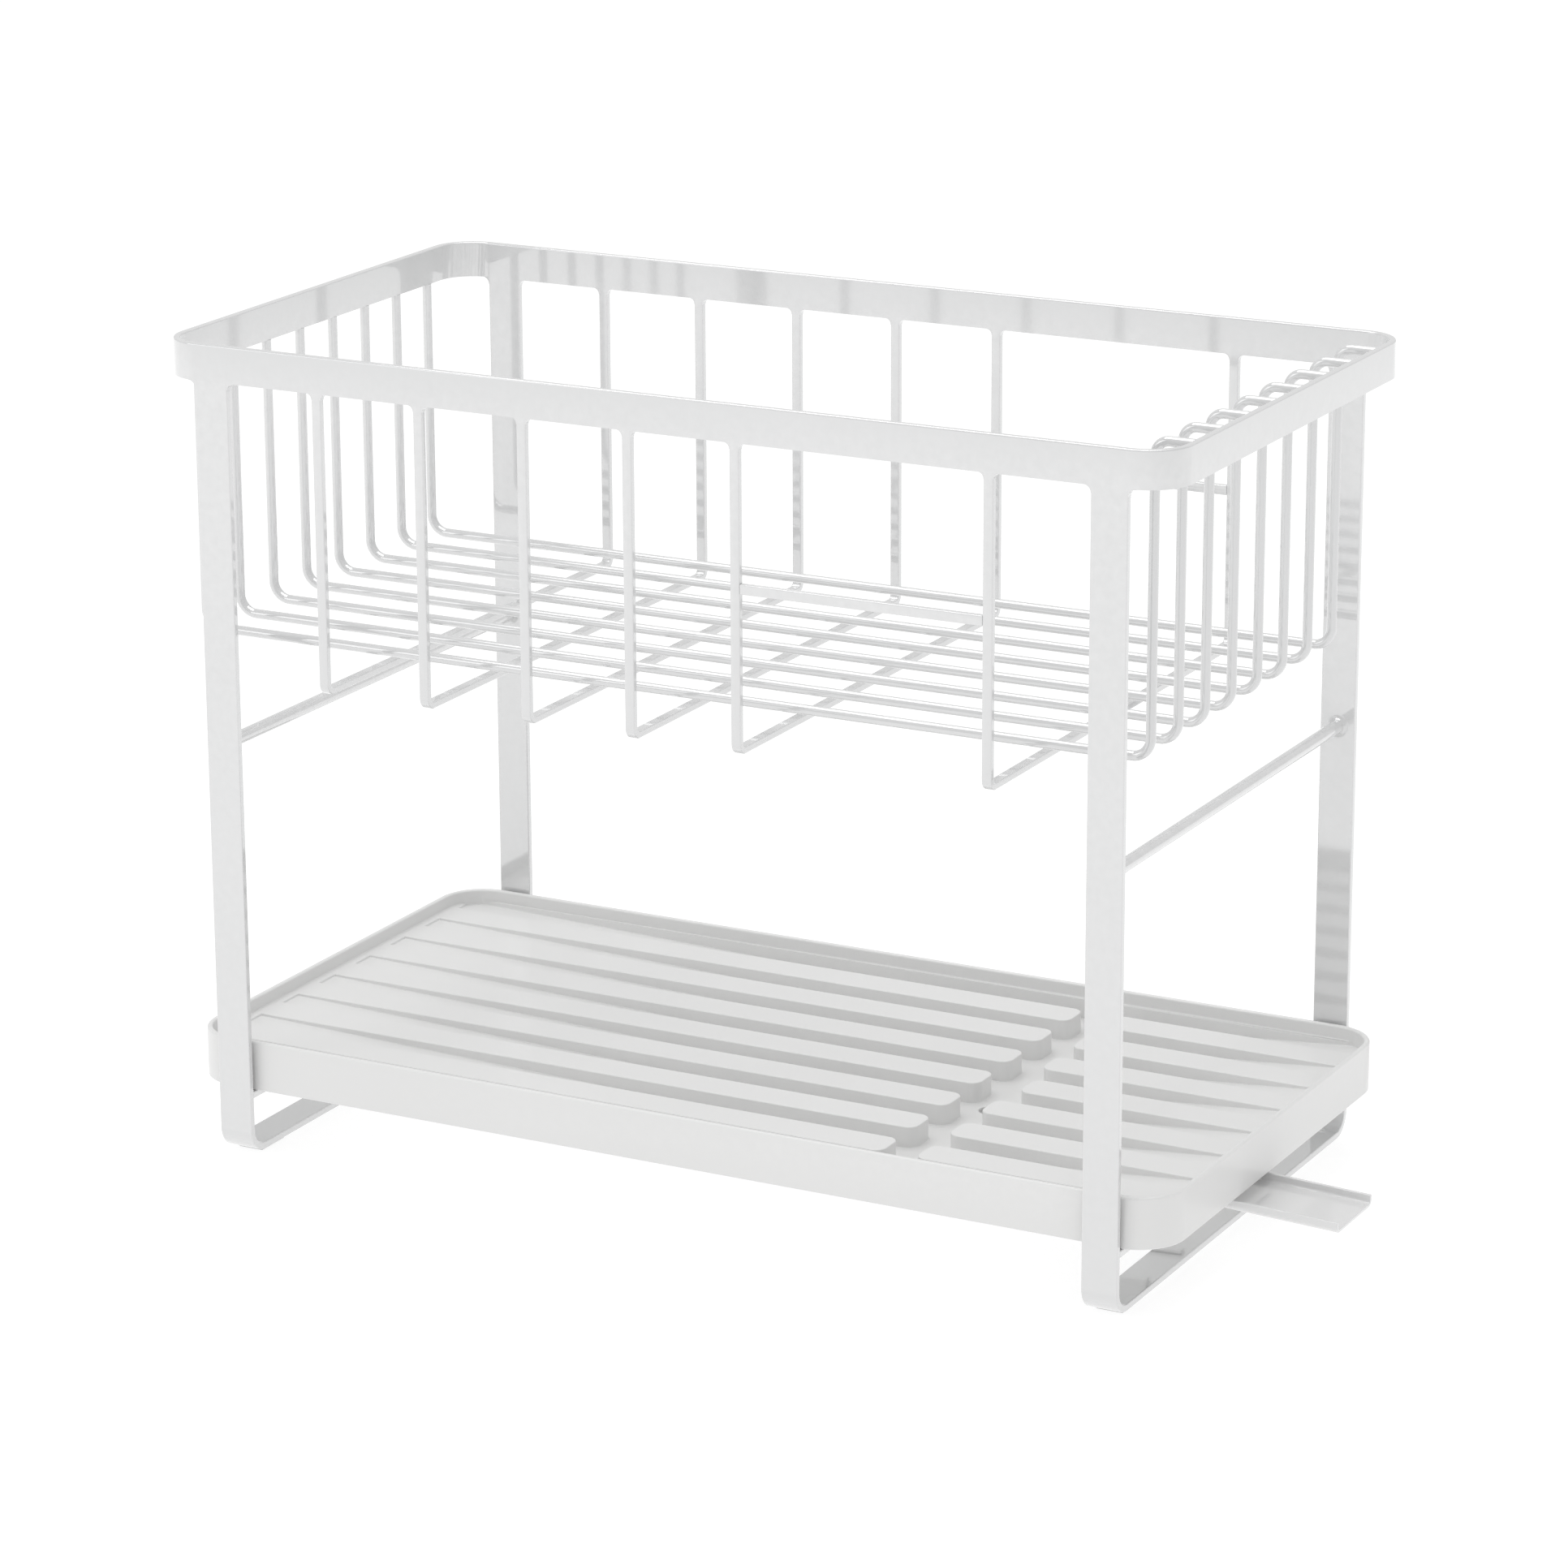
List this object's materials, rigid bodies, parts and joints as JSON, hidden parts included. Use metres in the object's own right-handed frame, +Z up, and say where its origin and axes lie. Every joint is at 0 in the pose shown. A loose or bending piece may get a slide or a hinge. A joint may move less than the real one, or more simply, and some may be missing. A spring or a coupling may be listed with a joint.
{
  "type": "dish drying rack",
  "caption": "Two-tier dish drying rack with a wire basket above a sliding ribbed drip tray with a pull-out drain spout.",
  "frame": {"origin": "middle of the overall footprint, spout included, at the height of the surface it stands on", "axes": "+X along the length towards the spout, +Y towards the back, +Z up"},
  "size_m": [0.5142, 0.247, 0.364],
  "materials": {
    "white_metal": "gloss",
    "tray_plastic": "satin",
    "spout_plastic": "gloss",
    "foot_pad": "matte"
  },
  "bodies": {
    "rack": {"rim_band": "white_metal", "left_side_frame": "white_metal", "right_side_frame": "white_metal", "left_brace": "white_metal", "right_brace": "white_metal", "basket_wire_1": "white_metal", "basket_wire_2": "white_metal", "basket_wire_3": "white_metal", "basket_wire_4": "white_metal", "basket_wire_5": "white_metal", "basket_wire_6": "white_metal", "basket_wire_7": "white_metal", "basket_wire_8": "white_metal", "basket_strip_1": "white_metal", "basket_strip_2": "white_metal", "basket_strip_3": "white_metal", "basket_strip_4": "white_metal", "basket_strip_5": "white_metal", "basket_strip_6": "white_metal", "front_gap_bar": "white_metal", "back_gap_bar": "white_metal", "tray_rest_front_left": "white_metal", "tray_rest_front_right": "white_metal", "tray_rest_back_left": "white_metal", "tray_rest_back_right": "white_metal", "foot_front_left": "foot_pad", "foot_front_right": "foot_pad", "foot_back_left": "foot_pad", "foot_back_right": "foot_pad"},
    "tray": {"drip_tray": "tray_plastic"},
    "spout": {"drain_spout": "spout_plastic"}
  },
  "joints": [
    {"name": "tray_slide", "type": "slide", "parent": "rack", "child": "tray", "axis": [1, 0, 0], "range_m": [-0.2, 0.2]},
    {"name": "spout_slide", "type": "slide", "parent": "tray", "child": "spout", "axis": [0.9991, 0, -0.0429], "range_m": [-0.038, 0]}
  ]
}
